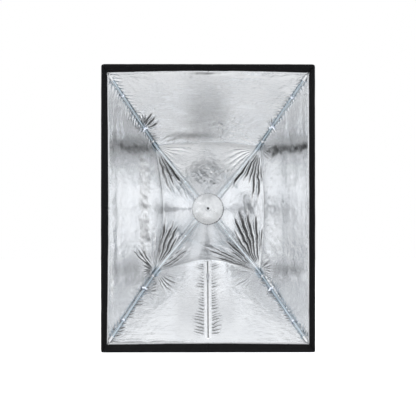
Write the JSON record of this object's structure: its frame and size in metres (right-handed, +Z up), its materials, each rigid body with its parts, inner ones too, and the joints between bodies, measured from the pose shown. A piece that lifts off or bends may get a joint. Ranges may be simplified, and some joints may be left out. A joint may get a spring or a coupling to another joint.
{
  "type": "strip softbox",
  "caption": "Folding rectangular softbox with a silver lining: ribs, stretchers and a runner on an umbrella shaft hold a cloth shell open, and a zipped slit in the bottom wall takes the stand.",
  "frame": {"origin": "on the shaft's axis, in the middle of the stretch at its front end that a lamp holder grips", "axes": "+Z up, the open front faces -Y, +X to the right as seen from the front, the shaft runs along Y"},
  "size_m": [0.6022, 0.3564, 0.8122],
  "materials": {
    "silver_cloth": "crinkled silver-coated lining, black cloth outside",
    "black_cloth": "matte woven black",
    "rosette_cloth": "satin silver, pinked edge",
    "silver_tape": "bright woven tape",
    "tie_cord": "soft bluish white ribbon",
    "rod_metal": "blue-grey, drawn along the rod",
    "shaft_metal": "bright plated tube",
    "bright_steel": "turned and polished",
    "zip_metal": "nickel plated",
    "dark_plastic": "moulded, fine grain",
    "button_plastic": "smooth"
  },
  "bodies": {
    "root": {"shaft": "shaft_metal", "shaft_cap": "dark_plastic", "stop_ring": "bright_steel", "hub": "dark_plastic", "hub_pins": "bright_steel", "ferrule": "dark_plastic", "back_patch": "black_cloth", "back_panel_top": "silver_cloth", "back_panel_right": "silver_cloth", "back_panel_bottom": "silver_cloth", "back_panel_left": "silver_cloth", "wall_top": "silver_cloth", "wall_right": "silver_cloth", "wall_bottom": "silver_cloth", "wall_left": "silver_cloth", "hem_band_top": "black_cloth", "hem_band_right": "black_cloth", "hem_band_bottom": "black_cloth", "hem_band_left": "black_cloth", "zip_tape_left": "silver_tape", "zip_tape_right": "silver_tape", "zip_teeth": "zip_metal", "zip_stops": "zip_metal"},
    "runner_body": {"runner": "dark_plastic", "runner_pins": "bright_steel", "rosette": "rosette_cloth"},
    "button": {"runner_button": "button_plastic"},
    "slider": {"zip_slider": "zip_metal"},
    "pull": {"zip_pull": "zip_metal"},
    "rib_tl": {"rib_inner_tl": "rod_metal", "rib_knee_tl": "dark_plastic", "rib_outer_tl": "rod_metal", "rib_tie_tl": "tie_cord", "rib_pocket_tl": "silver_tape"},
    "strut_tl": {"stretcher_tl": "rod_metal", "stretcher_rivets_tl": "bright_steel"},
    "rib_tr": {"rib_inner_tr": "rod_metal", "rib_knee_tr": "dark_plastic", "rib_outer_tr": "rod_metal", "rib_tie_tr": "tie_cord", "rib_pocket_tr": "silver_tape"},
    "strut_tr": {"stretcher_tr": "rod_metal", "stretcher_rivets_tr": "bright_steel"},
    "rib_bl": {"rib_inner_bl": "rod_metal", "rib_knee_bl": "dark_plastic", "rib_outer_bl": "rod_metal", "rib_tie_bl": "tie_cord", "rib_pocket_bl": "silver_tape"},
    "strut_bl": {"stretcher_bl": "rod_metal", "stretcher_rivets_bl": "bright_steel"},
    "rib_br": {"rib_inner_br": "rod_metal", "rib_knee_br": "dark_plastic", "rib_outer_br": "rod_metal", "rib_tie_br": "tie_cord", "rib_pocket_br": "silver_tape"},
    "strut_br": {"stretcher_br": "rod_metal", "stretcher_rivets_br": "bright_steel"}
  },
  "joints": [
    {"name": "runner_slide", "type": "slide", "parent": "root", "child": "runner_body", "axis": [0, -1, 0], "range_m": [0, 0.1054]},
    {"name": "button_press", "type": "slide", "parent": "runner_body", "child": "button", "axis": [-1, 0, 0], "range_m": [0, 0.002], "stiffness_N_per_m": 400, "springref_m": -0.002},
    {"name": "rib_fold_tl", "type": "hinge", "parent": "root", "child": "rib_tl", "pos_m": [-0.00891, 0.2645, 0.0108], "axis": [0.7712, 0, 0.6366], "range_deg": [0, 50]},
    {"name": "strut_fold_tl", "type": "hinge", "parent": "runner_body", "child": "strut_tl", "pos_m": [-0.00891, 0.1545, 0.0108], "axis": [-0.7712, 0, -0.6366], "range_deg": [0, 47]},
    {"name": "rib_fold_tr", "type": "hinge", "parent": "root", "child": "rib_tr", "pos_m": [0.00891, 0.2645, 0.0108], "axis": [0.7712, 0, -0.6366], "range_deg": [0, 50]},
    {"name": "strut_fold_tr", "type": "hinge", "parent": "runner_body", "child": "strut_tr", "pos_m": [0.00891, 0.1545, 0.0108], "axis": [-0.7712, 0, 0.6366], "range_deg": [0, 47]},
    {"name": "rib_fold_bl", "type": "hinge", "parent": "root", "child": "rib_bl", "pos_m": [-0.00891, 0.2645, -0.0108], "axis": [-0.7712, 0, 0.6366], "range_deg": [0, 50]},
    {"name": "strut_fold_bl", "type": "hinge", "parent": "runner_body", "child": "strut_bl", "pos_m": [-0.00891, 0.1545, -0.0108], "axis": [0.7712, 0, -0.6366], "range_deg": [0, 47]},
    {"name": "rib_fold_br", "type": "hinge", "parent": "root", "child": "rib_br", "pos_m": [0.00891, 0.2645, -0.0108], "axis": [-0.7712, 0, -0.6366], "range_deg": [0, 50]},
    {"name": "strut_fold_br", "type": "hinge", "parent": "runner_body", "child": "strut_br", "pos_m": [0.00891, 0.1545, -0.0108], "axis": [0.7712, 0, 0.6366], "range_deg": [0, 47]},
    {"name": "zip_slide", "type": "slide", "parent": "root", "child": "slider", "axis": [0, -0.6432, -0.7657], "range_m": [-0.044, 0.205]},
    {"name": "pull_swing", "type": "hinge", "parent": "slider", "child": "pull", "pos_m": [0, 0.09899, -0.20296], "axis": [-1, 0, 0], "range_deg": [0, 150]}
  ],
  "couplings": [
    {"joint": "rib_fold_tl", "follows": "runner_slide", "rad_per_m": 8.2762},
    {"joint": "strut_fold_tl", "follows": "runner_slide", "rad_per_m": 7.7563},
    {"joint": "rib_fold_tr", "follows": "runner_slide", "rad_per_m": 8.2762},
    {"joint": "strut_fold_tr", "follows": "runner_slide", "rad_per_m": 7.7563},
    {"joint": "rib_fold_bl", "follows": "runner_slide", "rad_per_m": 8.2762},
    {"joint": "strut_fold_bl", "follows": "runner_slide", "rad_per_m": 7.7563},
    {"joint": "rib_fold_br", "follows": "runner_slide", "rad_per_m": 8.2762},
    {"joint": "strut_fold_br", "follows": "runner_slide", "rad_per_m": 7.7563}
  ]
}
